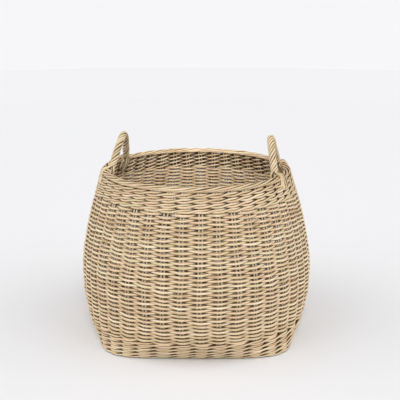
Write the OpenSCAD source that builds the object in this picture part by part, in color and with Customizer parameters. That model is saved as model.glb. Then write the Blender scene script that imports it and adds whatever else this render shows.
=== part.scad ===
// Wicker log basket: a rounded-square base, a bellied wall of rods woven round pairs
// of stakes, waling at the foot and under the border, and two roped bow handles.
// The origin is the middle of the base at floor level, the front is -Y and the
// handles stand near -X and +X.

/* [Body] */
// Outside width at the belly
belly_w = 500; // [460:5:540]
// Height of the middle of the border above the floor
body_h = 346; // [330:2:370]
// Height of the widest level
belly_h = 130; // [116:2:140]
// Outside width of the rounded-square base across its flats
base_w = 402; // [386:2:420]
// Outside width of the base across its rounded corners
base_diagonal = 506; // [480:2:510]
// Diameter of the border along its middle
rim_d = 388; // [380:1:410]

/* [Weave] */
// Pairs of stakes round the basket, an odd number
stake_count = 41; // [37:2:45]
// Diameter of one stake rod
stake_d = 3.6; // [3.2:0.1:4]
// Space between the two rods of a stake pair
pair_gap = 2.4; // [1.6:0.2:3]
// Diameter of one weaver rod
weaver_d = 4.4; // [4:0.1:5]
// Height of the waling at the foot
foot_h = 45; // [38:1:50]
// Height of the waling under the border
top_wale_h = 37; // [32:1:42]

/* [Base] */
// Rods across the base
stick_count = 9; // [7:2:11]
// Diameter of one base rod
stick_d = 7; // [6:0.5:8]
// Thickness of the woven base
base_t = 15; // [13:0.5:17]
// Width of the hoop that edges the base, square to the wall
hoop_w = 9; // [8:0.5:11]

/* [Border] */
// Width of the rolled border across the wall
border_w = 15; // [14:0.5:18]
// Height of the rolled border
border_h = 11; // [10:0.5:14]

/* [Handles] */
// Rise of each handle above the border, along its lean
handle_rise = 69; // [62:1:90]
// Lean of each handle towards the middle, in degrees
handle_lean = 11; // [8:1:30]
// Angle between the two legs of a handle, as seen from the basket's middle
handle_span = 40; // [34:2:50]
// Turn of the line through both handles from the X axis, in degrees
handle_turn = -8.6; // [-12:0.2:12]
// Depth to which the legs run down inside the waling
leg_depth = 28; // [20:1:30]
// Diameter of the bow inside each handle
bow_d = 6; // [5:0.5:7]
// Diameter of one strand roped round the bow
strand_d = 4.6; // [3.6:0.2:5]
// Strands roped round each bow
strand_count = 4; // [3:1:4]
// Turns that each strand makes over the bow
strand_turns = 3; // [2:1:4]

/* [Hidden] */

straw = "#C9AE88";
pale_straw = "#D6BE98";
honey = "#B9996F";

clear = 0.3;
gap = 0.2;
wall_t = 2 * weaver_d + stake_d;
belly_r = (belly_w - wall_t) / 2;
rim_r = rim_d / 2;
// Width of the leaning wall at floor level over its thickness
foot_lean = 1.5;
base_r = (base_w - wall_t * foot_lean) / 2;
corner_r = base_r * base_diagonal / base_w;
stake_step = 360 / stake_count;
// A stake stands a little to the right of the middle of the front
first_stake = -88;
// The wall swells quickly above the foot and draws in gently towards the border
swell_power = 2.8;
draw_power = 1.61;
// Stakes keep an even spacing along the rounded square, not an even angle
spread_angle = 4.1;
columns = 2 * stake_count;

// Bands that the side weave is worked in
band_count = 4;
border_low = body_h - border_h / 2;
wale_low = border_low - top_wale_h;
stake_low = base_t + gap;
band_h = (wale_low - foot_h) / band_count;
stake_levels = [stake_low, foot_h, for (i = [1:band_count]) foot_h + i * band_h, border_low - gap];

// ---- shape of the wall ----

// Radius of the middle of the wall at height z, for a wall that starts at foot_r
function swell(z, foot_r) =
    let(low = max(0, 1 - z / belly_h), high = max(0, (z - belly_h) / (body_h - belly_h)))
    foot_r + (belly_r - foot_r) * (1 - pow(low, swell_power))
        - (belly_r - rim_r) * pow(high, draw_power);

// Radius of the middle of the wall across the flats
function wall_r(z) = swell(z, base_r);

// Length of the wall's curve for each millimetre of height
function wall_lean(z) = sqrt(1 + pow((wall_r(z + 1) - wall_r(z - 1)) / 2, 2));

// Power of the section's superellipse, the one whose corners reach the corner profile
function section_power(z) = 1 / (0.5 - ln(swell(z, corner_r) / wall_r(z)) / ln(2));

// Point at angle a round the wall, at height z, set out from its middle by off
function wall_point(a, z, off = 0) =
    let(n = section_power(z),
        t = a + spread_angle * (1 - 2 / n) * sin(4 * a),
        k = pow(pow(abs(cos(t)), n) + pow(abs(sin(t)), n), -1 / n),
        r = (wall_r(z) + off * wall_lean(z)) * k)
    [r * cos(t), r * sin(t), z];

// Faces of a grid of rings, each of sides points, closed end to end or capped
function grid_faces(rings, sides, loop) = [
    for (i = [0:rings - (loop ? 1 : 2)]) for (j = [0:sides - 1])
        let(a = i * sides, b = ((i + 1) % rings) * sides, k = (j + 1) % sides)
        for (face = [[a + j, a + k, b + k], [a + j, b + k, b + j]]) face,
    if (!loop) [for (j = [sides - 1:-1:0]) j],
    if (!loop) [for (j = [0:sides - 1]) (rings - 1) * sides + j]
];

// A ring of wall between two levels, off_in and off_out from the wall's middle
module wall_ring(low, high, off_in, off_out, steps) {
    outline = [for (i = [0:steps]) [low + (high - low) * i / steps, off_out],
        [high, off_in], [low, off_in]];
    points = [for (i = [0:columns - 1]) for (p = outline)
        wall_point(360 * i / columns, p[0], p[1])];
    polyhedron(points, grid_faces(columns, len(outline), true));
}

// A thin slice across one stake pair, used to cut its slot
module slot_slice(a, z, length, width) {
    p = wall_point(a, z);
    translate(p) rotate(atan2(p[1], p[0])) cube([width, length, 0.4], center = true);
}

// Slots that one row of stake pairs stands in, between two levels
module stake_slots(low, high) {
    for (i = [0:stake_count - 1]) hull() for (z = [low, high])
        slot_slice(first_stake + i * stake_step, z, 2 * (stake_d + clear) + pair_gap,
            (stake_d + clear) * wall_lean(z));
}

// A ring of weave with its stake slots cut out
module woven_ring(low, high, steps) {
    difference() {
        wall_ring(low, high - gap, -wall_t / 2, wall_t / 2, steps);
        stake_slots(low, high);
    }
}

// ---- base ----

// The hoop lies against the inside of the foot, and the woven plate inside the hoop
hoop_out = wall_t / 2 + gap;
hoop_in = hoop_out + hoop_w;

// Radius of the woven plate across the flats, half way up
plate_z = base_t / 2;
plate_r = wall_r(plate_z) - (hoop_in + gap) * wall_lean(plate_z);

// How far the plate reaches along Y at a distance x from its middle
function plate_reach(x) =
    let(n = section_power(plate_z)) plate_r * pow(1 - pow(abs(x) / plate_r, n), 1 / n);

stick_gap = 2 * plate_r / (stick_count + 1);
function stick_x(i) = (i - (stick_count - 1) / 2) * stick_gap;

module base_weave() {
    points = [for (z = [0, base_t]) for (i = [0:columns - 1])
        wall_point(360 * i / columns, z, -hoop_in - gap)];
    color(honey) difference() {
        polyhedron(points, grid_faces(2, columns, false));
        for (i = [0:stick_count - 1]) translate([stick_x(i), 0, plate_z])
            rotate([90, 0, 0]) cylinder(d = (stick_d + clear) / cos(30), h = base_w,
                center = true, $fn = 6);
    }
}

module base_sticks() {
    color(straw) for (i = [0:stick_count - 1])
        translate([stick_x(i), 0, plate_z]) rotate([90, 0, 0])
            cylinder(d = stick_d, h = 2 * plate_reach(abs(stick_x(i)) + stick_d / 2),
                center = true, $fn = 32);
}

module base_hoop() {
    color(straw) wall_ring(0, base_t, -hoop_in, -hoop_out, 1);
}

// ---- wall ----

module foot_wale() {
    color(pale_straw) difference() {
        wall_ring(0, foot_h - gap, -wall_t / 2, wall_t / 2, 2);
        stake_slots(stake_low - gap, foot_h);
    }
}

module side_weave(i) {
    color(straw) woven_ring(foot_h + i * band_h, foot_h + (i + 1) * band_h, 3);
}

module top_wale() {
    color(pale_straw) woven_ring(wale_low, border_low, 2);
}

// Radius of the border's rounded edges over its height
edge_part = 0.42;
module rolled_border() {
    round = border_h * edge_part;
    color(pale_straw) rotate_extrude($fn = 164) translate([rim_r, body_h]) hull()
        for (x = [-1, 1]) for (y = [-1, 1])
            translate([x * (border_w / 2 - round), y * (border_h / 2 - round)])
                circle(round, $fn = 16);
}

// One rod of a stake pair, swept up the middle of the wall
module stake_rod(a, side) {
    facets = 5;
    points = [for (z = stake_levels)
        let(p = wall_point(a, z), dir = atan2(p[1], p[0]),
            along = side * (stake_d + pair_gap) / 2)
        for (j = [0:facets - 1])
            let(b = 360 * j / facets,
                x = stake_d / 2 * wall_lean(z) * cos(b), y = stake_d / 2 * sin(b) + along)
            [p[0] + x * cos(dir) - y * sin(dir), p[1] + x * sin(dir) + y * cos(dir), z]];
    polyhedron(points, grid_faces(len(stake_levels), facets, false));
}

// Stake pairs whose angle round the basket lies within 45 degrees of a side's middle
module side_stakes(middle) {
    color(straw) for (i = [0:stake_count - 1])
        let(a = first_stake + i * stake_step,
            away = ((a - middle) % 360 + 540) % 360 - 180)
        if (away >= -45 && away < 45) for (side = [-1, 1]) stake_rod(a, side);
}

// ---- handles ----

// Side 0 is the left handle and side 1 the right one, straight across from it
function handle_angle(side) = handle_turn + (side == 0 ? 180 : 0);
handle_half = handle_span / 2;

// How sharply the bow turns at its top, from 2 for a parabola down to 1 for a point
bow_power = 1.7;
// The legs lie against the inside of the border and run on down inside the waling
leg_in = border_w / 2 + bow_d / 2 + clear;
leg_r = rim_r - leg_in * wall_lean(body_h);
half_span = leg_r * sin(handle_half);
foot_back = leg_r * cos(handle_half);

// Middle of a leg where it runs down the wall at height z
function leg_point(side, leg, z) =
    wall_point(handle_angle(side) + leg * handle_half, z, -leg_in);

// Point of the bow above the border, s running from -1 at one leg to 1 at the other
function bow_point(side, s) =
    let(a = handle_angle(side), h = handle_rise * (1 - pow(abs(s), bow_power)),
        x = foot_back - h * sin(handle_lean), y = half_span * s)
    [x * cos(a) - y * sin(a), x * sin(a) + y * cos(a), body_h + h * cos(handle_lean)];

bow_steps = 20;
leg_steps = 2;
function bow_path(side) = concat(
    [for (i = [0:leg_steps - 1])
        leg_point(side, -1, body_h - leg_depth * (1 - i / leg_steps))],
    [for (i = [0:bow_steps]) bow_point(side, -cos(180 * i / bow_steps))],
    [for (i = [leg_steps - 1:-1:0])
        leg_point(side, 1, body_h - leg_depth * (1 - i / leg_steps))]);

function unit(v) = v / norm(v);
function path_dir(path, i) = unit(path[min(i + 1, len(path) - 1)] - path[max(i - 1, 0)]);

// A round rod of diameter d along a path, each ring turned from its own side vector
module rod_along(path, sides, d, facets) {
    points = [for (i = [0:len(path) - 1])
        let(t = path_dir(path, i), u = unit(cross(t, sides[i])), v = cross(t, u))
        for (j = [0:facets - 1])
            path[i] + d / 2 * (cos(360 * j / facets) * u + sin(360 * j / facets) * v)];
    polyhedron(points, grid_faces(len(path), facets, false));
}

// A direction square to the bow's plane, which its rings are turned from
function bow_side(side) =
    let(a = handle_angle(side))
    [cos(a) * cos(handle_lean), sin(a) * cos(handle_lean), sin(handle_lean)];

module handle_bow(side) {
    path = bow_path(side);
    color(straw) rod_along(path, [for (p = path) bow_side(side)], bow_d, 8);
}

// How far over the bow's half turn the strands start and stop, in degrees
rope_start = 28;
// Where a strand is on the bow at fraction u of the way from leg to leg
function rope_s(u) = -cos(rope_start + (180 - 2 * rope_start) * u);

// Direction from the middle of the bow out to one strand at fraction u
function strand_side(side, u, strand) =
    let(s = rope_s(u),
        t = unit(bow_point(side, s + 0.01) - bow_point(side, s - 0.01)),
        n = bow_side(side), b = cross(t, n),
        turn = 360 * (strand_turns * u + strand / strand_count))
    cos(turn) * n + sin(turn) * b;

module handle_rope(side) {
    steps = 8 * strand_turns;
    r = (bow_d + strand_d) / 2 + clear;
    color(pale_straw) for (k = [0:strand_count - 1])
        let(sides = [for (i = [0:steps]) strand_side(side, i / steps, k)])
        rod_along([for (i = [0:steps]) bow_point(side, rope_s(i / steps)) + r * sides[i]],
            sides, strand_d * 0.9, 4);
}

// Rods that tie one leg of a handle down over the outside of the border
lashing_count = 3;
// Angle between neighbouring rods of a lashing where they cross the border
lashing_fan = 2.4;
// Spread of the fan at its low end, down on the waling
lashing_flare = 1.8;
lashing_low = wale_low + 8;
module leg_lashing(side, leg) {
    a = handle_angle(side) + leg * handle_half;
    out = wall_t / 2 + strand_d / 2 + clear;
    over = border_w / 2 + strand_d / 2 + clear;
    color(honey) for (k = [0:lashing_count - 1])
        let(fan = (k - (lashing_count - 1) / 2) * lashing_fan,
            top = [0, 0, border_h / 2 + strand_d / 2 + clear],
            path = [wall_point(a + fan * lashing_flare, lashing_low, out),
                wall_point(a + fan * (lashing_flare + 1) / 2, (lashing_low + border_low) / 2, out),
                wall_point(a + fan, border_low - strand_d / 2, out + 1),
                wall_point(a + fan, body_h + strand_d / 2, over),
                wall_point(a + fan, body_h, border_w / 4) + top,
                wall_point(a + fan / 2, body_h, -border_w / 4) + top])
        rod_along(path, [for (p = path) [-sin(a), cos(a), 0]], strand_d * 0.8, 5);
}

base_weave();
base_sticks();
base_hoop();
foot_wale();
side_weave(0);  // side_weave_1
side_weave(1);  // side_weave_2
side_weave(2);  // side_weave_3
side_weave(3);  // side_weave_4
top_wale();
rolled_border();
side_stakes(-90);  // front_stakes
side_stakes(0);  // right_stakes
side_stakes(90);  // back_stakes
side_stakes(180);  // left_stakes
handle_bow(0);  // left_handle_bow
handle_rope(0);  // left_handle_rope
handle_bow(1);  // right_handle_bow
handle_rope(1);  // right_handle_rope
leg_lashing(0, 1);  // left_front_lashing
leg_lashing(0, -1);  // left_back_lashing
leg_lashing(1, -1);  // right_front_lashing
leg_lashing(1, 1);  // right_back_lashing
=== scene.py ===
"""A wicker log basket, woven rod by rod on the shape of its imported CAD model.

The wall is one curve that every rod follows: a rounded-square foot, a round belly and a
round rim. Each rod is a path of points, and one sweep turns a path into a tube. Lengths
are metres and angles radians. The front is -Y, up is +Z.
"""

import logging
import math
from dataclasses import dataclass, field
from enum import Enum

import bpy
import numpy as np
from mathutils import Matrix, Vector


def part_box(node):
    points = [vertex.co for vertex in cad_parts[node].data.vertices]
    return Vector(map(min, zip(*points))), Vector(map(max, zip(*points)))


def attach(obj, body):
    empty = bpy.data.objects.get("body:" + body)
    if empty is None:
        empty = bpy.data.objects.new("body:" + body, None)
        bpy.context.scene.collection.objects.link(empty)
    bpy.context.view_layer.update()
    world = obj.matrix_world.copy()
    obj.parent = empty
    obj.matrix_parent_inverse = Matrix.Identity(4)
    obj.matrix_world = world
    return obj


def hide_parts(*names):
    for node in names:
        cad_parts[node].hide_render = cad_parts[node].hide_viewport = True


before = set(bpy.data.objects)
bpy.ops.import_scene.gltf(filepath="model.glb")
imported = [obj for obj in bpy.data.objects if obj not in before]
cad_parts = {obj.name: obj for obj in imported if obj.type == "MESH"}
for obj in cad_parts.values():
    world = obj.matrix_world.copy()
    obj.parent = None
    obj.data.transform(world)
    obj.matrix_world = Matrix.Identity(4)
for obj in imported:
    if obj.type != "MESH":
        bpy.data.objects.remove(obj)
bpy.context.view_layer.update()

LOG = logging.getLogger("basket")
MM = 0.001
TURN = 2 * math.pi
SEED = 41

Array = np.ndarray


class Side(Enum):
    """The two handles, each with the angle of its middle in degrees."""

    LEFT = 171.4
    RIGHT = -8.6

    @property
    def word(self) -> str:
        """The side's name in lower case, as the CAD nodes spell it."""
        return self.name.lower()


class Slot(Enum):
    """Kinds of rod, one for each use; each finish holds one."""

    WEAVERS = "weavers"
    WALE = "wale_rods"
    BORDER = "border_rods"
    STAKES = "stakes"
    BASE = "base_rods"
    HANDLE = "handle_rods"


def smooth_step(x: Array) -> Array:
    """Rises from 0 to 1 as 3x^2 - 2x^3, level outside that range.

    Args:
        x: Places along the step, 0 at its foot and 1 at its top.

    Returns:
        The height at each place.
    """
    x = np.clip(x, 0, 1)
    return x * x * (3 - 2 * x)


def unit(v: Array) -> Array:
    """Rows of v, each divided by its own length."""
    return v / np.linalg.norm(v, axis=-1, keepdims=True)


def run_along(path: Array) -> Array:
    """Length of a path from its start to each of its points."""
    return np.concatenate([[0], np.cumsum(np.linalg.norm(np.diff(path, axis=0), axis=1))])


def through(points: Array, per_span: int) -> Array:
    """Runs a Catmull-Rom curve through points.

    Each span's cubic passes its two ends with slopes of half the step between their
    neighbours.

    Args:
        points: Key points, one a row, with any number of columns.
        per_span: Points laid on each span.

    Returns:
        The points of the curve, the last key point included.
    """
    p = np.vstack([2 * points[0] - points[1], points, 2 * points[-1] - points[-2]])
    t = (np.arange(per_span) / per_span)[None, :, None]
    a, b, c, d = (p[i : len(p) - 3 + i, None, :] for i in range(4))
    curve = b + 0.5 * t * (c - a + t * (2 * a - 5 * b + 4 * c - d + t * (3 * (b - c) + d - a)))
    return np.vstack([curve.reshape(-1, points.shape[1]), points[-1:]])


def put_in_scene(name: str, data: bpy.types.ID) -> bpy.types.Object:
    """Stands new data in the scene as an object at the origin.

    Args:
        name: Name of the object.
        data: Mesh, light or camera.

    Returns:
        The new object.
    """
    thing = bpy.data.objects.new(name, data)
    bpy.context.scene.collection.objects.link(thing)
    return thing


# ---- the wall ----


@dataclass(frozen=True)
class Wall:
    """The middle surface of the basket's wall, and where the stakes stand in it."""

    belly_w: float = 0.500
    belly_h: float = 0.130
    body_h: float = 0.346
    base_w: float = 0.402
    base_diagonal: float = 0.506
    rim_d: float = 0.388
    thickness: float = 12.4 * MM
    # Metres of wall for each metre of height where it leaves the floor
    foot_lean: float = 1.5
    # Powers of the curves that swell out to the belly and draw in to the rim
    swell_power: float = 2.8
    draw_power: float = 1.61
    # How far the stakes keep off the corners, and how far they and the wall stray
    spread: float = math.radians(4.1)
    sway: float = math.radians(0.28)
    dent: float = 0.6 * MM
    stake_count: int = 41
    first_stake: float = math.radians(-88)

    @property
    def step(self) -> float:
        """Angle from one stake pair to the next."""
        return TURN / self.stake_count

    @property
    def foot_r(self) -> float:
        """Radius of the wall's middle at the floor, across the flats."""
        return (self.base_w - self.thickness * self.foot_lean) / 2

    def stake(self, number: float | Array) -> float | Array:
        """Angle of a stake, or of a place between stakes."""
        return self.first_stake + self.step * number

    def swell(self, z: Array, foot_r: float) -> Array:
        """Radius at height z of a wall that starts at foot_r.

        Below the belly the radius grows as one minus a power of the drop, and above
        it shrinks as a power of the rise.

        Args:
            z: Heights.
            foot_r: Radius at the floor.

        Returns:
            The radius at each height.
        """
        belly_r, rim_r = (self.belly_w - self.thickness) / 2, self.rim_d / 2
        low = np.maximum(0, 1 - z / self.belly_h)
        high = np.maximum(0, (z - self.belly_h) / (self.body_h - self.belly_h))
        grown = foot_r + (belly_r - foot_r) * (1 - low**self.swell_power)
        return grown - (belly_r - rim_r) * high**self.draw_power

    def radius(self, z: Array) -> Array:
        """Radius of the wall's middle across the flats."""
        return self.swell(z, self.foot_r)

    def lean(self, z: Array) -> Array:
        """Length of the wall's curve for each metre of height."""
        slope = (self.radius(z + MM) - self.radius(z - MM)) / (2 * MM)
        return np.sqrt(1 + slope**2)

    def power(self, z: Array) -> Array:
        """Power of the section's superellipse, 2 where it is a circle."""
        corner_r = self.foot_r * self.base_diagonal / self.base_w
        return 1 / (0.5 - np.log(self.swell(z, corner_r) / self.radius(z)) / math.log(2))

    def point(self, a: Array, z: Array, off: Array | float = 0.0) -> Array:
        """Points round the wall.

        The section is a superellipse, |x|^n + |y|^n = r^n, whose power n falls from
        about 4 at the foot to 2 at the rim. Stakes crowd a little less at its corners
        than even angles would have them. As the work of hands, the wall swells and
        the stakes sway by slow sines round the wall and up it.

        Args:
            a: Angles round the wall.
            z: Heights.
            off: Distance out from the wall's middle, square to the wall.

        Returns:
            One point a row.
        """
        a, z, off = np.broadcast_arrays(a, z, off)
        n = self.power(z)
        sway = np.sin(7 * a + 21 * z) + np.sin(11 * a - 34 * z + 2) + np.sin(3 * a + 47 * z + 4)
        t = a + self.spread * (1 - 2 / n) * np.sin(4 * a) + self.sway * sway
        k = (np.abs(np.cos(t)) ** n + np.abs(np.sin(t)) ** n) ** (-1 / n)
        dent = self.dent * (np.sin(4 * a + 19 * z + 1) + np.sin(9 * a - 31 * z + 3))
        r = (self.radius(z) + dent + off * self.lean(z)) * k
        return np.stack([r * np.cos(t), r * np.sin(t), z], axis=-1)

    def along(self, a: Array, z: Array) -> Array:
        """Unit vectors round the wall, towards larger angles."""
        return unit(self.point(a + 1e-4, z) - self.point(a - 1e-4, z))

    def outward(self, a: Array, z: Array) -> Array:
        """Unit vectors square to the wall, pointing out of the basket."""
        up = self.point(a, z + MM) - self.point(a, z - MM)
        return unit(np.cross(self.along(a, z), up))

    def levels(self, rows: Array, low: float, high: float, count: float) -> Array:
        """Heights of rows that are evenly spaced along the wall's curve.

        Args:
            rows: Row numbers, which may be fractions, from 0 to count.
            low: Height of row 0.
            high: Height of row count.
            count: Rows between the two.

        Returns:
            The height of each row.
        """
        z = np.linspace(low, high, 400)
        arc = run_along(np.stack([self.radius(z), z], axis=-1))
        return np.interp(rows / count * arc[-1], arc, z)


@dataclass(frozen=True)
class Wander:
    """Slow unevenness of hand weaving: neighbouring rows rise and dip together."""

    height: float = 1.3 * MM
    seed: int = SEED

    def lift(self, a: Array, z: Array) -> Array:
        """Height that a row strays by, a sum of sines round the wall and up it.

        Args:
            a: Angles round the wall.
            z: Heights.

        Returns:
            The rise or dip at each place.
        """
        rng = np.random.default_rng(self.seed)
        waves = ((2, 9), (3, 21), (5, 34), (9, 55), (14, 80))
        lift = np.zeros(np.broadcast(a, z).shape)
        for around, up in waves:
            lift += np.sin(around * a + up * z + rng.uniform(0, TURN))
        return self.height / 2 * lift


# ---- rods ----


@dataclass(frozen=True)
class CreviceShade:
    """Painted shade on a rod that others lie against, where the weave's crevices would be in shadow.

    A face that looks away from the middle of the weave keeps its own colour, and one that looks into
    it is painted dark as shade. The step from painted shade to none starts at -lift and is span long.
    """

    lift: float
    span: float

    def clean(self, off: Array, radius: Array, q: Array) -> Array:
        """How far each point of a rod is out of the painted shade, from 0 to 1.

        The measure is the point's distance from the middle of the weave times the
        cosine of the angle that its face turns from straight out.

        Args:
            off: Distance of the rod's middle from the middle of the weave.
            radius: Radius of the rod at each of those places.
            q: Angles round the rod, 0 straight out.

        Returns:
            One row for each place and one column for each angle.
        """
        turned = np.cos(q)[None, :]
        place = off[:, None] + radius[:, None] * turned
        return smooth_step((place * turned + self.lift) / self.span)


# How far the painted shade reaches round the rods of the wall, the wale, the handle rope and the border
WALL_SHADE = CreviceShade(0.7 * MM, 2.3 * MM)
WALE_SHADE = CreviceShade(-0.7 * MM, 2.6 * MM)
ROPE_SHADE = CreviceShade(-1.2 * MM, 4.6 * MM)
BORDER_SHADE = CreviceShade(-0.5 * MM, 3.6 * MM)

# Rods are painted with contact shadow up to this height above the floor
CONTACT_SHADOW_H = 5 * MM
UP = np.array([0.0, 0.0, 1.0])


@dataclass
class RodBundle:
    """Rods that make one piece, gathered as swept tubes and joined into one mesh."""

    name: str
    sides: int = 8
    seed: int = SEED
    points: list[Array] = field(default_factory=list)
    quads: list[Array] = field(default_factory=list)
    tones: list[Array] = field(default_factory=list)
    grains: list[Array] = field(default_factory=list)
    used: int = 0
    rods: int = 0

    def __post_init__(self) -> None:
        """Starts the bundle's own random numbers."""
        self.rng = np.random.default_rng(self.seed)

    def add(
        self,
        path: Array,
        facing: Array,
        radius: Array | float,
        off: Array | None = None,
        cover: CreviceShade = WALL_SHADE,
        dome: bool = True,
    ) -> None:
        """Sweeps one rod along a path.

        At each path point the ring is point + r (cos(q) u + sin(q) v), where u is
        facing made square to the path and v is the path's direction crossed with u.

        Args:
            path: Points along the middle of the rod.
            facing: A direction for each point, not along the path.
            radius: Radius of the rod, or one for each point.
            off: Distance of each path point from the middle of the weave, along facing.
            cover: How the painted shade falls round the rod's section, used where off is given.
            dome: Whether the ends are rounded off.
        """
        n = len(path)
        radius = np.broadcast_to(radius, n) * self._girth(path)
        facing = np.broadcast_to(facing, path.shape)
        if dome:
            # One more ring at each end, narrower and a little further on
            ends = unit(path[[0, -1]] - path[[1, -2]]) * radius[[0, -1], None] * 0.45
            path = np.vstack([path[:1] + ends[:1], path, path[-1:] + ends[1:]])
            facing = np.vstack([facing[:1], facing, facing[-1:]])
            radius = np.concatenate([radius[:1] * 0.55, radius, radius[-1:] * 0.55])
            off = None if off is None else np.concatenate([off[:1], off, off[-1:]])
            n += 2
        ahead = unit(np.gradient(path, axis=0))
        u = unit(facing - (facing * ahead).sum(1, keepdims=True) * ahead)
        v = np.cross(ahead, u)
        q = np.arange(self.sides) / self.sides * TURN
        turned = np.cos(q)[None, :, None] * u[:, None] + np.sin(q)[None, :, None] * v[:, None]
        self.points.append((path[:, None] + radius[:, None, None] * turned).reshape(-1, 3))
        self.quads.append(self._skin(n) + self.used)
        # Painted shade: faces that look into the weave are marked for the shaded colour, where the
        # crevices would be in shadow
        clean = np.ones((n, self.sides)) if off is None else cover.clean(off, radius, q)
        # Painted contact shadow: points close above the floor are marked darker too
        height = path[:, None, 2] + radius[:, None] * turned[..., 2]
        clean = clean * smooth_step(0.1 + height / CONTACT_SHADOW_H)
        self._mark(path, radius, q, clean)
        self.used += n * self.sides
        self.rods += 1

    def _girth(self, path: Array) -> Array:
        """Slow changes of thickness along a rod, about one twentieth either way.

        Args:
            path: Middle of the rod.

        Returns:
            For each path point 1 plus two sines of the length so far, the second uneven.
        """
        run = run_along(path)
        a, b, c = self.rng.uniform(0, TURN, 3)
        return 1 + 0.03 * np.sin(run * 61 + a) + 0.025 * np.sin(run * 148 + b + np.sin(run * 20 + c))

    def _skin(self, n: int) -> Array:
        """Faces of a tube, four corners each, its two caps split into strips.

        Args:
            n: Number of rings.

        Returns:
            The corners of each face, numbered from the tube's first point.
        """
        i = np.arange(n - 1)[:, None] * self.sides
        j = np.arange(self.sides)[None, :]
        k = (j + 1) % self.sides
        wall = np.stack([i + j, i + k, i + k + self.sides, i + j + self.sides], -1)
        h = np.arange(self.sides // 2 - 1)
        cap = np.stack([h, h + 1, self.sides - 2 - h, self.sides - 1 - h], -1)
        return np.vstack([wall.reshape(-1, 4), cap[:, ::-1], cap + (n - 1) * self.sides])

    def _mark(self, path: Array, radius: Array, q: Array, clean: Array) -> None:
        """Stores each point's tone, tint and painted shade, and its place in the rod's own grain.

        The grain's first number is the length along the rod plus an offset of the
        rod's own, and the other two go round its section.

        Args:
            path: Middle of the rod.
            radius: Radius at each path point.
            q: Angles round a ring.
            unshaded: How far each point is out of the painted shade, 1 where there is none.
        """
        tone, tint, start = self.rng.normal(0.5, 0.1), self.rng.uniform(), self.rng.uniform(0, 40)
        shape = (len(path), self.sides)
        tones = np.stack([np.full(shape, np.clip(tone, 0, 1)), np.full(shape, tint), clean], -1)
        self.tones.append(tones.reshape(-1, 3))
        run = np.broadcast_to(run_along(path)[:, None] + start, shape)
        grain = np.stack([run, radius[:, None] * np.cos(q), radius[:, None] * np.sin(q)], -1)
        self.grains.append(grain.reshape(-1, 3))

    def piece(self, finish: "RodFinish", *nodes: str) -> bpy.types.Object:
        """Joins the rods into one object, dresses it and stands it for its CAD nodes.

        Args:
            finish: Finish of the rods.
            nodes: CAD nodes that the piece replaces.

        Returns:
            The new object.
        """
        points, quads = np.vstack(self.points), np.vstack(self.quads)
        mesh = bpy.data.meshes.new(self.name)
        mesh.vertices.add(len(points))
        mesh.vertices.foreach_set("co", points.astype(np.float32).ravel())
        mesh.loops.add(quads.size)
        mesh.loops.foreach_set("vertex_index", quads.astype(np.int32).ravel())
        mesh.polygons.add(len(quads))
        mesh.polygons.foreach_set("loop_start", np.arange(0, quads.size, 4, dtype=np.int32))
        mesh.polygons.foreach_set("use_smooth", np.ones(len(quads), dtype=bool))
        # The tone attribute holds the rod's tone, its tint and how far each point is out of the painted
        # shade
        for key, rows in (("tone", self.tones), ("grain", self.grains)):
            layer = mesh.attributes.new(key, "FLOAT_VECTOR", "POINT")
            layer.data.foreach_set("vector", np.vstack(rows).astype(np.float32).ravel())
        mesh.update(calc_edges=True)
        mesh.validate()
        mesh.materials.append(finish.material())
        thing = put_in_scene(self.name, mesh)
        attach(thing, "root")
        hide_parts(*nodes)
        LOG.info("%s: %d rods, %d triangles", self.name, self.rods, 2 * len(quads))
        return thing


# ---- finishes ----


def linear(code: str) -> tuple[float, float, float, float]:
    """Turns an sRGB hex colour into linear light.

    Args:
        code: Colour such as "#C9AE88".

    Returns:
        Red, green, blue and an alpha of 1.
    """
    parts = [int(code[i : i + 2], 16) / 255 for i in (1, 3, 5)]
    light = [c / 12.92 if c <= 0.04045 else ((c + 0.055) / 1.055) ** 2.4 for c in parts]
    return (*light, 1.0)


def node(
    tree: bpy.types.NodeTree,
    kind: str,
    inputs: dict[str | int, object] | None = None,
    **settings: object,
) -> bpy.types.Node:
    """Adds one node with its settings, values and links.

    Args:
        tree: Node tree that takes the node.
        kind: Blender's name of the node type.
        inputs: For each input socket, by name or number, a value or a socket to link.
        settings: Properties of the node itself.

    Returns:
        The new node.
    """
    made = tree.nodes.new(kind)
    for key, value in settings.items():
        setattr(made, key, value)
    for key, value in (inputs or {}).items():
        if isinstance(value, bpy.types.NodeSocket):
            tree.links.new(value, made.inputs[key])
        else:
            made.inputs[key].default_value = value
    return made


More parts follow.
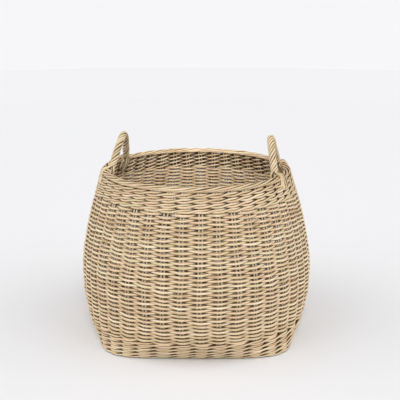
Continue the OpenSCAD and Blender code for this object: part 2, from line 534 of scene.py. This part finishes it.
@dataclass(frozen=True)
class RodFinish:
    """Peeled rattan and willow rod, dried: straw to tan, each rod a shade of its own.

    The skin has fine lengthwise fibres with a dull sheen, browner flecks where bark
    held on, and tints from pink to a faint green.
    """

    name: str
    slot: Slot
    dark: str = "#AE8E65"
    middle: str = "#DDC4A0"
    pale: str = "#F3E2C4"
    pink: str = "#DDBB9E"
    green: str = "#CFC79B"
    brown: str = "#8F6E48"
    # Colour of the painted shade in the crevices between rods and near the floor
    shaded: str = "#4F3519"
    roughness: float = 0.56
    sheen: float = 0.4
    # Fibres of the skin are about 0.3 mm wide and run on for 30 mm
    fibre: float = 0.35 * MM
    fibre_run: float = 30 * MM
    # Flecks and shades along a rod change every 25 mm or so
    fleck_run: float = 25 * MM
    fleck_w: float = 4 * MM
    relief: float = 0.12 * MM

    def material(self) -> bpy.types.Material:
        """Makes the finish as a material, or finds it where it has been made before.

        Returns:
            The material.
        """
        known = bpy.data.materials.get(self.name)
        if known:
            return known
        made = bpy.data.materials.new(self.name)
        made.use_nodes = True
        tree = made.node_tree
        tree.nodes.clear()
        fibres = self._streaks(tree, self.fibre_run, self.fibre, 3)
        flecks = self._streaks(tree, self.fleck_run, self.fleck_w, 2)
        # The stored tone's third part is the painted shade between the rods and near the floor
        stored = node(tree, "ShaderNodeAttribute", attribute_name="tone")
        marks = node(tree, "ShaderNodeSeparateXYZ", {0: stored.outputs["Vector"]}).outputs
        colour = self._colour(tree, marks, fibres, flecks)
        relief = {"Height": fibres, "Strength": 0.6, "Distance": self.relief}
        bump = node(tree, "ShaderNodeBump", relief)
        dull = {0: fibres, 3: self.roughness - 0.08, 4: self.roughness + 0.1}
        rough = node(tree, "ShaderNodeMapRange", dull)
        # Places in the painted shade between the rods get almost no sheen, as if no light reached them
        sheen = node(tree, "ShaderNodeMapRange", {0: marks[2], 3: 0.02, 4: self.sheen})
        inputs = {
            "Base Color": colour,
            "Roughness": rough.outputs[0],
            "Normal": bump.outputs[0],
            "IOR": 1.5,
            "Specular IOR Level": sheen.outputs[0],
        }
        skin = node(tree, "ShaderNodeBsdfPrincipled", inputs)
        node(tree, "ShaderNodeOutputMaterial", {"Surface": skin.outputs[0]})
        return made

    def _streaks(
        self, tree: bpy.types.NodeTree, run: float, width: float, detail: float
    ) -> bpy.types.NodeSocket:
        """Noise drawn out along the rod, as a socket from 0 to 1.

        Args:
            tree: Node tree that takes the nodes.
            run: Length of one streak.
            width: Width of one streak.
            detail: Octaves of finer noise.

        Returns:
            The noise's output socket.
        """
        grain = node(tree, "ShaderNodeAttribute", attribute_name="grain")
        place = {"Vector": grain.outputs["Vector"], "Scale": (1 / run, 1 / width, 1 / width)}
        scaled = node(tree, "ShaderNodeMapping", place).outputs[0]
        streaks = {"Vector": scaled, "Scale": 1.0, "Detail": detail, "Roughness": 0.6}
        return node(tree, "ShaderNodeTexNoise", streaks).outputs[0]

    def _colour(
        self,
        tree: bpy.types.NodeTree,
        marks: bpy.types.bpy_prop_collection,
        fibres: bpy.types.NodeSocket,
        flecks: bpy.types.NodeSocket,
    ) -> bpy.types.NodeSocket:
        """Colour of the skin, from the rod's tone, its tint, its fibres and its flecks.

        Args:
            tree: Node tree that takes the nodes.
            marks: Sockets of the rod's tone, its tint and how far the point is out of the painted shade.
            fibres: Fine lengthwise noise.
            flecks: Broad noise along the rod.

        Returns:
            The colour socket.
        """
        drift = node(tree, "ShaderNodeMath", {0: flecks, 1: 1.3, 2: -0.65}, operation="MULTIPLY_ADD")
        shade = node(tree, "ShaderNodeMath", {0: marks[0], 1: drift.outputs[0]}, operation="ADD")
        ramp = node(tree, "ShaderNodeValToRGB", {0: shade.outputs[0]})
        stops = ramp.color_ramp.elements
        stops[0].color, stops[1].color = linear(self.dark), linear(self.pale)
        stops.new(0.5).color = linear(self.middle)
        # Each layer follows one measure from start to stop, up to its greatest strength
        layers = (
            (marks[1], 0.75, 1.0, 0.4, self.pink),
            (marks[1], 0.14, 0.0, 0.4, self.green),
            (flecks, 0.62, 0.8, 0.4, self.brown),
            (fibres, 0.42, 0.25, 0.4, self.brown),
            # Painted shade: the shaded colour goes where marks[2] puts the point in the weave's crevices
            # or near the floor
            (marks[2], 1.0, 0.0, 0.9, self.shaded),
        )
        colour = ramp.outputs[0]
        for measure, start, stop, strength, code in layers:
            amount = node(tree, "ShaderNodeMapRange", {0: measure, 1: start, 2: stop, 4: strength})
            inputs = {0: amount.outputs[0], 6: colour, 7: linear(code)}
            colour = node(tree, "ShaderNodeMix", inputs, data_type="RGBA").outputs[2]
        return colour


# ---- the woven wall ----


@dataclass(frozen=True)
class Stakes:
    """Pairs of rods that stand up the wall from the base to the border."""

    wall: Wall
    rod_d: float = 3.8 * MM
    spacing: float = 6.2 * MM
    low: float = 4 * MM
    finish: RodFinish = RodFinish("willow_stakes", Slot.STAKES, dark="#D3BA92", middle="#EFDDBC")

    def build(self) -> None:
        """Builds the stakes of each side as one piece."""
        top = self.wall.body_h - 2 * MM
        z = np.linspace(self.low, top, 60)
        sides = {"right": 0, "back": 1, "left": 2, "front": 3}
        numbers = np.arange(self.wall.stake_count)
        quarter = ((self.wall.stake(numbers) + TURN / 8) // (TURN / 4)).astype(int) % 4
        for word, which in sides.items():
            bundle = RodBundle(f"{word}_stake_pairs", seed=SEED + which)
            for number in numbers[quarter == which]:
                self._pair(bundle, self.wall.stake(number), z)
            bundle.piece(self.finish, f"{word}_stakes")

    def _pair(self, bundle: RodBundle, a: float, z: Array) -> None:
        """Adds the two rods of one pair, side by side along the wall.

        Args:
            bundle: Bundle that takes the rods.
            a: Angle of the pair.
            z: Heights of the path's points.
        """
        angles = np.full_like(z, a)
        middle, along = self.wall.point(angles, z), self.wall.along(angles, z)
        out = self.wall.outward(angles, z)
        for side in (-1, 1):
            sway = 0.4 * MM * np.sin(z * bundle.rng.uniform(15, 40) + bundle.rng.uniform(0, TURN))
            shift = side * self.spacing / 2 + sway
            radius = self.rod_d / 2 * bundle.rng.uniform(0.94, 1.06)
            bundle.add(middle + along * shift[:, None], out, radius, np.zeros_like(z))


@dataclass(frozen=True)
class Siding:
    """One rod after another woven in front of one stake pair and behind the next.

    The stake count is odd, so the weaver winds up the wall as a spiral and swaps sides
    by itself on every round.
    """

    wall: Wall
    wander: Wander
    low: float
    high: float
    rod_d: float = 5.1 * MM
    swing: float = 4.4 * MM
    # A rod pulled round a stake spreads, and where it crosses its neighbours it is squeezed
    squeeze: float = 0.08
    # Below 1 the rod keeps to the wall's middle for longer and bends sharply round a stake
    bend: float = 0.25
    bands: int = 4
    # Stake gaps in one band, an even number so that its rods start and end inside
    band_gaps: int = 616
    # Pairs of gaps that a rod runs for, and the fewest gaps left over for another rod
    gap_pairs: tuple[int, int] = (19, 30)
    rest_gaps: int = 16
    # Gaps that a rod goes on past its first and last stake, and how far in its ends are tucked
    tail: float = 0.32
    tuck: float = 1.5 * MM
    # The lowest and highest rows are pressed against the waling
    press_low: float = 2.5 * MM
    press_high: float = 2 * MM
    per_gap: int = 9
    start: int = 26
    finish: RodFinish = RodFinish("rattan_weavers", Slot.WEAVERS)

    def build(self) -> None:
        """Builds each band of the side weave as one piece."""
        for band in range(self.bands):
            bundle = RodBundle(f"side_weave_rods_{band + 1}", seed=SEED + 10 + band)
            first, last = band * self.band_gaps, (band + 1) * self.band_gaps
            while first < last:
                end = min(last, first + 2 * int(bundle.rng.integers(*self.gap_pairs)))
                if last - end < self.rest_gaps:
                    end = last
                self._rod(bundle, first, end)
                first = end
            bundle.piece(self.finish, f"side_weave_{band + 1}")

    def _rod(self, bundle: RodBundle, first: int, last: int) -> None:
        """Adds one weaver, whose swing through the wall is a cosine of the stakes passed.

        The cosine is raised to a power above 1, its sign kept.

        Args:
            bundle: Bundle that takes the rod.
            first: Stake gaps passed where the rod starts, behind a stake.
            last: Stake gaps passed where it ends, behind a stake.
        """
        rng = bundle.rng
        gaps = np.linspace(first - self.tail, last + self.tail, (last - first) * self.per_gap)
        rows = np.clip(gaps, 0, self.bands * self.band_gaps) / self.wall.stake_count
        count = self.bands * self.band_gaps / self.wall.stake_count
        low, high = self.low - self.press_low, self.high + self.press_high
        a = self.wall.stake(self.start + gaps)
        z = self.wall.levels(rows + 0.5, low, high, count + 1)
        z = z + self.wander.lift(a, z) * smooth_step(np.minimum(rows, count - rows) / 3)
        loose = np.sin(gaps * 0.9 + rng.uniform(0, TURN)) + np.sin(gaps * 2.3 + rng.uniform(0, TURN))
        swing = self.swing * rng.uniform(0.96, 1.04) * (1 + 0.05 * loose)
        wave = np.cos(math.pi * gaps)
        off = -swing * wave * np.abs(wave) ** self.bend
        # Both ends are tucked in behind their stakes
        end = np.maximum(smooth_step((first + 0.2 - gaps) * 2), smooth_step((gaps - last + 0.2) * 2))
        off -= self.tuck * end
        shift = 0.3 * MM * np.sin(gaps * 1.7 + rng.uniform(0, TURN)) + rng.normal(0, 0.15 * MM)
        path = self.wall.point(a, z + shift, off)
        radius = self.rod_d / 2 * rng.uniform(0.92, 1.06) * (1 + self.squeeze * np.cos(TURN * gaps))
        bundle.add(path, self.wall.outward(a, z), radius, off)


@dataclass(frozen=True)
class Waling:
    """Rounds of three-rod wale, each rod in front of two stake pairs and behind one.

    The stake count leaves two over when shared by three, so the three rods of a round
    join end to end into one loop of three turns.
    """

    wall: Wall
    name: str
    cad_node: str
    low: float
    high: float
    rod_d: float
    swing: float
    rounds: int = 4
    # Share of a round's height that a rod climbs or drops from its middle
    climb: float = 0.27
    tail: float = 0.3
    per_gap: int = 9
    seed: int = SEED + 20
    finish: RodFinish = RodFinish("rattan_wale_rods", Slot.WALE, middle="#D4BB96")

    def build(self) -> None:
        """Builds all the rounds as one piece."""
        bundle = RodBundle(self.name, seed=self.seed)
        count = self.wall.stake_count
        for turn in range(self.rounds):
            # The loop starts at any stake, and its joins are about a third of it apart
            first, one, two = bundle.rng.integers((0, 12, 26), (count, 16, 30)) * 3
            ends = [0, one, two, 3 * count]
            for start, stop in zip(ends, ends[1:]):
                self._rod(bundle, turn, first + start, first + stop)
        bundle.piece(self.finish, self.cad_node)

    def _rod(self, bundle: RodBundle, turn: int, first: int, last: int) -> None:
        """Adds one rod of a round.

        In three stake gaps the rod comes out low, lies outside two pairs as it climbs
        over the next rod, goes in high and drops again behind the third pair.

        Args:
            bundle: Bundle that takes the rod.
            turn: Number of the round, from the bottom.
            first: Stake gaps passed where the rod starts.
            last: Stake gaps passed where it ends.
        """
        rng = bundle.rng
        gaps = np.linspace(first - self.tail, last + self.tail, (last - first) * self.per_gap)
        u, v = gaps % 3, (gaps - 0.5) % 3
        off = np.where(u < 1, -np.cos(math.pi * u), np.where(u < 2, 1.0, np.cos(math.pi * (u - 2))))
        rise = self.climb * (2 * (smooth_step(v - 0.5) - smooth_step(v - 2)) - 1)
        a = self.wall.stake(gaps)
        middle = self.wall.levels(turn + 0.5 + rise, self.low, self.high, self.rounds)
        sway = 0.3 * MM * np.sin(gaps * 1.3 + rng.uniform(0, TURN))
        # The lowest round rests on the floor
        z = np.maximum(middle + sway, self.low + 0.6 * self.rod_d)
        swing = self.swing * rng.uniform(0.97, 1.03) * off
        radius = self.rod_d / 2 * rng.uniform(0.93, 1.05)
        path = self.wall.point(a, z, swing)
        bundle.add(path, self.wall.outward(a, z), radius, swing, WALE_SHADE)


@dataclass(frozen=True)
class Border:
    """Stake ends rolled over the rim, each running on for five stakes and tucked under."""

    wall: Wall
    width: float = 15 * MM
    height: float = 11 * MM
    rod_d: float = 4.6 * MM
    # Stakes that each rod runs on for, and its turn round the section, 0 straight out
    reach: float = 5.2
    roll_from: float = math.radians(212)
    roll: float = math.radians(262)
    filler_r: float = 3.4 * MM
    finish: RodFinish = RodFinish("willow_border_rods", Slot.BORDER, middle="#D2BA95")

    def build(self) -> None:
        """Builds the rolled border with its filling rod as one piece."""
        bundle = RodBundle("rolled_border_rods", seed=SEED + 30)
        for number in range(self.wall.stake_count):
            self._rod(bundle, number)
        a = np.linspace(0, TURN, 320)
        core = self.wall.point(a, np.full_like(a, self.wall.body_h - 1 * MM))
        bundle.add(core, UP, self.filler_r, np.full_like(a, -5 * MM), dome=False)
        bundle.piece(self.finish, "rolled_border")

    def _rod(self, bundle: RodBundle, number: int) -> None:
        """Adds one rod, which rolls round the border's oval section as it runs on.

        It starts low on the inside, crosses the top half way, and ends low outside.

        Args:
            bundle: Bundle that takes the rod.
            number: Number of the stake that the rod belongs to.
        """
        rng = bundle.rng
        t = np.linspace(0, 1, 46)
        a = self.wall.stake(number - self.reach * t)
        roll = self.roll_from - self.roll * (0.15 * t + 0.85 * smooth_step(t))
        radius = self.rod_d / 2 * rng.uniform(0.9, 1.07)
        wide = self.width / 2 - radius + rng.uniform(-0.3, 0.3) * MM
        high = self.height / 2 - radius + rng.uniform(-0.1, 0.4) * MM
        sway = rng.uniform(0.2, 0.5) * MM * np.sin(t * rng.uniform(6, 14) + rng.uniform(0, TURN))
        r = self.wall.rim_d / 2 + wide * np.cos(roll)
        z = self.wall.body_h + high * np.sin(roll) + sway
        path = np.stack([r * np.cos(a), r * np.sin(a), z], -1)
        facing = np.stack([np.cos(a) * np.cos(roll), np.sin(a) * np.cos(roll), np.sin(roll)], -1)
        off = np.hypot(wide * np.cos(roll), high * np.sin(roll))
        bundle.add(path, facing + [0, 0, 0.01], radius, off, BORDER_SHADE)


# ---- the base ----


@dataclass(frozen=True)
class Base:
    """The woven floor of the basket: stout sticks, weavers across them and an edging hoop."""

    wall: Wall
    height: float
    stick_count: int = 9
    stick_d: float = 7 * MM
    rod_d: float = 3.7 * MM
    row: float = 4.1 * MM
    hoop_in: float = 15.4 * MM
    hoop_d: float = 7.2 * MM
    hoop_gap: float = 0.25 * MM
    finish: RodFinish = RodFinish("rattan_base_rods", Slot.BASE, middle="#D2BA95")

    @property
    def plate_r(self) -> float:
        """Radius of the woven plate across the flats, half way up."""
        z = self.height / 2
        return float(self.wall.radius(z) - self.hoop_in * self.wall.lean(z))

    @property
    def stick_gap(self) -> float:
        """Distance between neighbouring sticks."""
        return 2 * self.plate_r / (self.stick_count + 1)

    def _reach(self, x: float) -> float:
        """How far the plate goes along one axis at distance x from its middle."""
        n = float(self.wall.power(self.height / 2))
        return self.plate_r * (1 - (abs(x) / self.plate_r) ** n) ** (1 / n)

    def build(self) -> None:
        """Builds sticks, weavers and hoop."""
        self._sticks()
        self._weavers()
        self._hoop()

    def _sticks(self) -> None:
        """Builds the sticks, straight rods along Y."""
        bundle = RodBundle("base_stick_rods", sides=12, seed=SEED + 40)
        for i in range(self.stick_count):
            x = (i - (self.stick_count - 1) / 2) * self.stick_gap
            reach = self._reach(abs(x) + self.stick_d / 2) + 4 * MM
            y = np.linspace(-reach, reach, 40)
            path = np.stack([x + 0.4 * MM * np.sin(y * 19 + i), y, np.full_like(y, self.height / 2)], -1)
            bundle.add(path, UP, self.stick_d / 2, np.zeros_like(y))
        bundle.piece(self.finish, "base_sticks")

    def _weavers(self) -> None:
        """Builds the weavers, which cross the sticks along X as a cosine, over and under."""
        bundle = RodBundle("base_weaver_rods", sides=6, seed=SEED + 41)
        swing = (self.stick_d + self.rod_d) / 2 - 0.3 * MM
        rows = int(2 * self.plate_r / self.row)
        for i in range(rows):
            y = (i - (rows - 1) / 2) * self.row
            reach = self._reach(y) + 3 * MM
            x = np.linspace(-reach, reach, 110)
            z = self.height / 2 + (-1) ** i * swing * np.cos(math.pi * x / self.stick_gap)
            sway = 0.25 * MM * np.sin(x * 60 + bundle.rng.uniform(0, TURN))
            radius = self.rod_d / 2 * bundle.rng.uniform(0.92, 1.06)
            path = np.stack([x, np.full_like(x, y) + sway, z], -1)
            bundle.add(path, UP, radius, z - self.height / 2)
        bundle.piece(self.finish, "base_weave")

    def _hoop(self) -> None:
        """Builds the hoop, two rods laid on each other inside the foot of the wall."""
        bundle = RodBundle("base_hoop_rods", seed=SEED + 42)
        a = np.linspace(0, TURN, 240)
        low = self.hoop_d / 2 + self.hoop_gap
        for z in (low, self.height - low):
            path = self.wall.point(a, np.full_like(a, z), -self.hoop_in + self.hoop_d / 2)
            bundle.add(path, UP, self.hoop_d / 2, dome=False)
        bundle.piece(self.finish, "base_hoop")


# ---- the handles ----


@dataclass(frozen=True)
class Handle:
    """A bow set inside the rim, with strands roped round it and lashed over the border."""

    wall: Wall
    side: Side
    rise: float = 69 * MM
    lean: float = math.radians(11)
    half: float = math.radians(20)
    leg_depth: float = 28 * MM
    border_w: float = 15 * MM
    border_h: float = 11 * MM
    bow_d: float = 6 * MM
    bow_power: float = 1.7
    strand_d: float = 4.9 * MM
    strands: int = 6
    turns: float = 3.3
    # Where the rope starts, as an angle of the half turn that lays out the bow
    rope_start: float = math.radians(22)
    # Width that the strands' tails fan out to on the border, to either side of the leg
    tail_fan: float = 7 * MM
    lashings: int = 4
    # A lashing rod's radius as a share of a strand's width, and the angle to the next rod
    lashing_share: float = 0.37
    lashing_step: float = math.radians(2.1)
    finish: RodFinish = RodFinish("rattan_handle_rods", Slot.HANDLE, middle="#DCC6A2")

    @property
    def middle(self) -> float:
        """Angle of the handle's middle round the basket."""
        return math.radians(self.side.value)

    @property
    def leg_in(self) -> float:
        """Distance of a leg's middle inside the wall's middle."""
        return (self.border_w + self.bow_d) / 2 + 0.3 * MM

    def _at(self, a: float, z: Array, off: Array) -> Array:
        """Place on the wall, above the border straight over where the wall ends.

        Args:
            a: Angle round the basket.
            z: Height.
            off: Distance out from the wall's middle.

        Returns:
            The point.
        """
        point = self.wall.point(a, np.minimum(z, self.wall.body_h), off)
        point[..., 2] = z
        return point

    def _bow(self, s: Array) -> Array:
        """Points of the bow above the border.

        The rise is 1 - |s|^p of the full one, set back by the lean, and the legs stand
        inside the rim.

        Args:
            s: Places across the bow, from -1 at one leg to 1 at the other.

        Returns:
            One point a row.
        """
        h = self.rise * (1 - np.abs(s) ** self.bow_power)
        leg_r = self.wall.rim_d / 2 - self.leg_in * float(self.wall.lean(self.wall.body_h))
        x = leg_r * math.cos(self.half) - h * math.sin(self.lean)
        y = leg_r * math.sin(self.half) * s
        z = self.wall.body_h + h * math.cos(self.lean)
        a = self.middle
        return np.stack([x * math.cos(a) - y * math.sin(a), x * math.sin(a) + y * math.cos(a), z], -1)

    @property
    def _face(self) -> Array:
        """Unit vector square to the bow's plane, out and up."""
        a, lean = self.middle, self.lean
        return np.array([math.cos(a) * math.cos(lean), math.sin(a) * math.cos(lean), math.sin(lean)])

    def build(self) -> None:
        """Builds the bow, the rope and the two lashings."""
        word, seed = self.side.word, SEED + (50 if self.side is Side.LEFT else 60)
        bow = RodBundle(f"{word}_handle_bow_rod", sides=10, seed=seed)
        bow.add(self._bow_path(), self._face, self.bow_d / 2)
        bow.piece(self.finish, f"{word}_handle_bow")
        rope = RodBundle(f"{word}_handle_strands", seed=seed + 1)
        for strand in range(self.strands):
            self._strand(rope, strand)
        rope.piece(self.finish, f"{word}_handle_rope")
        for leg in (-1, 1):
            # The left handle faces the other way, so its first leg is at the back
            place = "front" if (leg < 0) == (self.side is Side.RIGHT) else "back"
            lashing = RodBundle(f"{word}_{place}_lashing_rods", seed=seed + 3 + leg)
            for number in range(self.lashings):
                self._lashing(lashing, leg, number - (self.lashings - 1) / 2)
            lashing.piece(self.finish, f"{word}_{place}_lashing")

    def _bow_path(self) -> Array:
        """Path of the bow from one leg's end over the top to the other's.

        Returns:
            One point a row.
        """
        s = -np.cos(np.linspace(0, math.pi, 60))
        z = self.wall.body_h - np.linspace(self.leg_depth, 0, 8, endpoint=False)
        legs = [self.wall.point(self.middle + leg * self.half, z, -self.leg_in) for leg in (-1, 1)]
        return np.vstack([legs[0], self._bow(s), legs[1][::-1]])

    def _strand(self, bundle: RodBundle, strand: int) -> None:
        """Adds one strand: a helix round the bow with a tail at each end.

        The strand stands off the bow by their two radii, turned evenly along the bow.

        Args:
            bundle: Bundle that takes the strand.
            strand: Number of the strand.
        """
        rng = bundle.rng
        u = np.linspace(0, 1, int(10 * self.turns))
        s = -np.cos(self.rope_start + (math.pi - 2 * self.rope_start) * u)
        ahead = unit(self._bow(s + 0.01) - self._bow(s - 0.01))
        across = np.cross(ahead, self._face)
        turn = TURN * (self.turns * u + (strand + rng.uniform(-0.12, 0.12)) / self.strands)
        facing = np.cos(turn)[:, None] * self._face + np.sin(turn)[:, None] * across
        stand = (self.bow_d + self.strand_d) / 2 + 0.3 * MM * np.sin(turn * 0.7 + strand)
        helix = self._bow(s) + stand[:, None] * facing
        first, last = self._tail(-1, facing[0], rng), self._tail(1, facing[-1], rng)
        path = through(np.vstack([first[::-1], helix, last]), 4)
        ends = [np.repeat(facing[[i]], len(tail), 0) for i, tail in ((0, first), (-1, last))]
        turned = through(np.vstack([ends[0], facing, ends[1]]), 4)
        radius = self.strand_d / 2 * rng.uniform(0.9, 1.06)
        bundle.add(path, turned, radius, np.full(len(path), float(stand.mean())), ROPE_SHADE)

    def _tail(self, leg: int, facing: Array, rng: np.random.Generator) -> Array:
        """Points of a strand's tail, over the border or down the inside of the wale.

        Args:
            leg: Which leg, -1 or 1.
            facing: Direction that the strand stands off the bow where the tail starts.
            rng: The bundle's random numbers.

        Returns:
            Points from the border's top down to the tucked end.
        """
        a, top = self.middle + leg * self.half, self.wall.body_h + self.border_h / 2
        out = np.array([math.cos(a), math.sin(a), 0.0])
        aside = float(facing @ self.wall.along(a, self.wall.body_h))
        fan = aside * self.tail_fan / (self.wall.rim_d / 2)
        r, low = self.strand_d / 2, self.wall.body_h - self.border_h / 2
        half_w, half_t = self.border_w / 2, self.wall.thickness / 2
        # Each row is the share of the fan, the height and the distance out of the wall
        if facing @ out > -0.3:
            drop = rng.uniform(7, 12) * MM
            keys = (
                (0.8, top + r + 0.4 * MM, -half_w * 0.5),
                (1.0, top + r - 1 * MM, half_w * 0.35),
                (1.2, self.wall.body_h + 2 * MM, half_w - 1.5 * MM),
                (1.4, low, half_t - 0.5 * MM),
                (1.6, low - drop, half_t - 0.5 * MM),
                (1.7, low - drop - 4 * MM, half_t - 2 * MM),
                (1.8, low - drop - 8 * MM, -2 * MM),
            )
        else:
            keys = (
                (1.0, top - 1 * MM, -self.leg_in - self.bow_d / 2 - r * 0.8),
                (0.9, self.wall.body_h - 6 * MM, -self.leg_in - self.bow_d / 2 - r * 0.8),
                (0.6, self.wall.body_h - 18 * MM, -self.leg_in - self.bow_d / 2),
                (0.3, self.wall.body_h - 26 * MM, -self.leg_in),
            )
        return np.array([self._at(a + fan * k, z, off) for k, z, off in keys])

    def _lashing(self, bundle: RodBundle, leg: int, fan: float) -> None:
        """Adds one lashing rod, from inside the rim over the border to the wale outside.

        Args:
            bundle: Bundle that takes the rod.
            leg: Which leg, -1 or 1.
            fan: Place of the rod across the lashing, 0 in the middle.
        """
        rng = bundle.rng
        a, spread = self.middle + leg * self.half, self.lashing_step * fan
        r = self.lashing_share * self.strand_d * rng.uniform(0.9, 1.1)
        top, low = self.wall.body_h + self.border_h / 2, self.wall.body_h - self.border_h / 2
        drop = rng.uniform(9, 16) * MM
        half_w, half_t = self.border_w / 2, self.wall.thickness / 2
        # Each row is the share of the spread, the height and the distance out of the wall
        keys = (
            (0.9, low - 12 * MM, -half_t - r * 0.4),
            (0.8, low, -half_t - r),
            (0.6, self.wall.body_h, -half_w - r),
            (0.5, top + r * 0.5, -half_w * 0.45),
            (0.7, top + r * 0.3, half_w * 0.4),
            (0.9, self.wall.body_h + 1 * MM, half_w - 0.6 * MM),
            (1.1, low - 1 * MM, half_t),
            (1.3, low - 0.7 * drop, half_t),
            (1.5, low - drop, half_t - 2 * MM),
            (1.6, low - drop - 4 * MM, -1 * MM),
        )
        path = through(np.array([self._at(a + spread * k, z, off) for k, z, off in keys]), 6)
        bundle.add(path, self.wall.along(a, self.wall.body_h), r)


# ---- the studio ----


@dataclass(frozen=True)
class Sun:
    """One broad, far light, its angles in degrees. Azimuth 0 is the front."""

    name: str
    azimuth: float
    elevation: float
    strength: float
    spread: float

    def build(self) -> None:
        """Adds the light, turned to shine from its azimuth and elevation."""
        data = bpy.data.lights.new(self.name, "SUN")
        data.energy, data.angle = self.strength, math.radians(self.spread)
        lamp = put_in_scene(self.name, data)
        a, e = math.radians(self.azimuth), math.radians(self.elevation)
        source = Vector((math.sin(a) * math.cos(e), -math.cos(a) * math.cos(e), math.sin(e)))
        lamp.rotation_euler = (-source).to_track_quat("-Z", "Y").to_euler()


@dataclass(frozen=True)
class Studio:
    """A pale floor that rises far off on all sides, broad soft light and the camera."""

    eye: tuple[float, float, float] = (0.008, -1.5, 0.68)
    pitch: float = math.radians(15.13)
    lens: float = 64.3
    flat_r: float = 4.0
    far_r: float = 60.0
    rise: float = 0.12
    paper: str = "#E6E6E8"
    world: float = 0.44
    # A small soft panel over the mouth, aimed low at the inside of the back
    panel_watts: float = 0.11
    panel_size: float = 0.2
    panel_spread: float = math.radians(64)
    panel_at: tuple[float, float, float] = (0, -0.1, 0.46)
    panel_aim: tuple[float, float, float] = (0, 0.21, 0.27)
    suns: tuple[Sun, ...] = (
        Sun("top_light", 3, 41, 1.36, 26),
        Sun("left_light", -76, 42, 0.98, 60),
        Sun("right_light", 76, 42, 0.94, 60),
    )

    def build(self) -> None:
        """Builds floor, world, lights and camera."""
        self._floor()
        self._world()
        for sun in self.suns:
            sun.build()
        self._mouth_light()
        self._camera()

    def _mouth_light(self) -> None:
        """Adds the panel over the mouth, which the camera doesn't see."""
        data = bpy.data.lights.new("mouth_light", "AREA")
        data.energy, data.size, data.spread = self.panel_watts, self.panel_size, self.panel_spread
        lamp = put_in_scene("mouth_light", data)
        lamp.location = self.panel_at
        aim = Vector(self.panel_aim) - lamp.location
        lamp.rotation_euler = aim.to_track_quat("-Z", "Y").to_euler()
        lamp.visible_camera = False

    def _floor(self) -> None:
        """Builds the floor, a flat disc whose far part rises as a shallow cone."""
        r = np.array([self.flat_r, self.flat_r + 2, self.far_r])[:, None]
        z = np.array([0.0, self.rise * 0.6, self.rise * (self.far_r - self.flat_r)])[:, None]
        count = 64
        q = np.arange(count) / count * TURN
        points = np.stack([r * np.cos(q), r * np.sin(q), z + 0 * q], -1).reshape(-1, 3)
        j = np.arange(count)
        k = (j + 1) % count
        rings = [np.stack([i + j, i + count + j, i + count + k, i + k], -1) for i in (0, count)]
        mesh = bpy.data.meshes.new("studio_floor")
        mesh.from_pydata(points.tolist(), [], [j.tolist(), *np.vstack(rings).tolist()])
        # Matt paper, an even off-white
        made = bpy.data.materials.new("matt_paper")
        made.use_nodes = True
        shader = made.node_tree.nodes["Principled BSDF"]
        shader.inputs["Base Color"].default_value = linear(self.paper)
        shader.inputs["Roughness"].default_value = 0.9
        shader.inputs["Specular IOR Level"].default_value = 0.1
        mesh.materials.append(made)
        put_in_scene("studio_floor", mesh)

    def _world(self) -> None:
        """Sets an even white world and plain colour handling."""
        world = bpy.data.worlds.new("studio_world")
        world.use_nodes = True
        background = world.node_tree.nodes["Background"]
        background.inputs["Color"].default_value = (1, 1, 1, 1)
        background.inputs["Strength"].default_value = self.world
        bpy.context.scene.world = world
        bpy.context.scene.view_settings.view_transform = "Standard"

    def _camera(self) -> None:
        """Adds the camera, level from side to side."""
        data = bpy.data.cameras.new("camera")
        data.lens = self.lens
        eye = put_in_scene("camera", data)
        eye.location = self.eye
        eye.rotation_euler = (math.pi / 2 - self.pitch, 0, 0)
        bpy.context.scene.camera = eye


def main() -> None:
    """Builds the studio and the basket, from the base up to the handles."""
    logging.basicConfig(level=logging.INFO, format="%(name)s: %(message)s")
    Studio().build()
    wall, wander = Wall(), Wander()
    foot_top, wale_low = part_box("foot_wale")[1][2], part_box("top_wale")[0][2]
    border_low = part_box("rolled_border")[0][2]
    Base(wall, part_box("base_hoop")[1][2]).build()
    Stakes(wall).build()
    foot = Waling(wall, "foot_wale_rods", "foot_wale", 0.0, foot_top, 4.7 * MM, 4.8 * MM, rounds=5)
    foot.build()
    Siding(wall, wander, foot_top, wale_low).build()
    top = Waling(wall, "top_wale_rods", "top_wale", wale_low, border_low, 4.6 * MM, 4.4 * MM)
    top.build()
    Border(wall).build()
    for side in Side:
        Handle(wall, side).build()


if __name__ == "__main__":
    main()
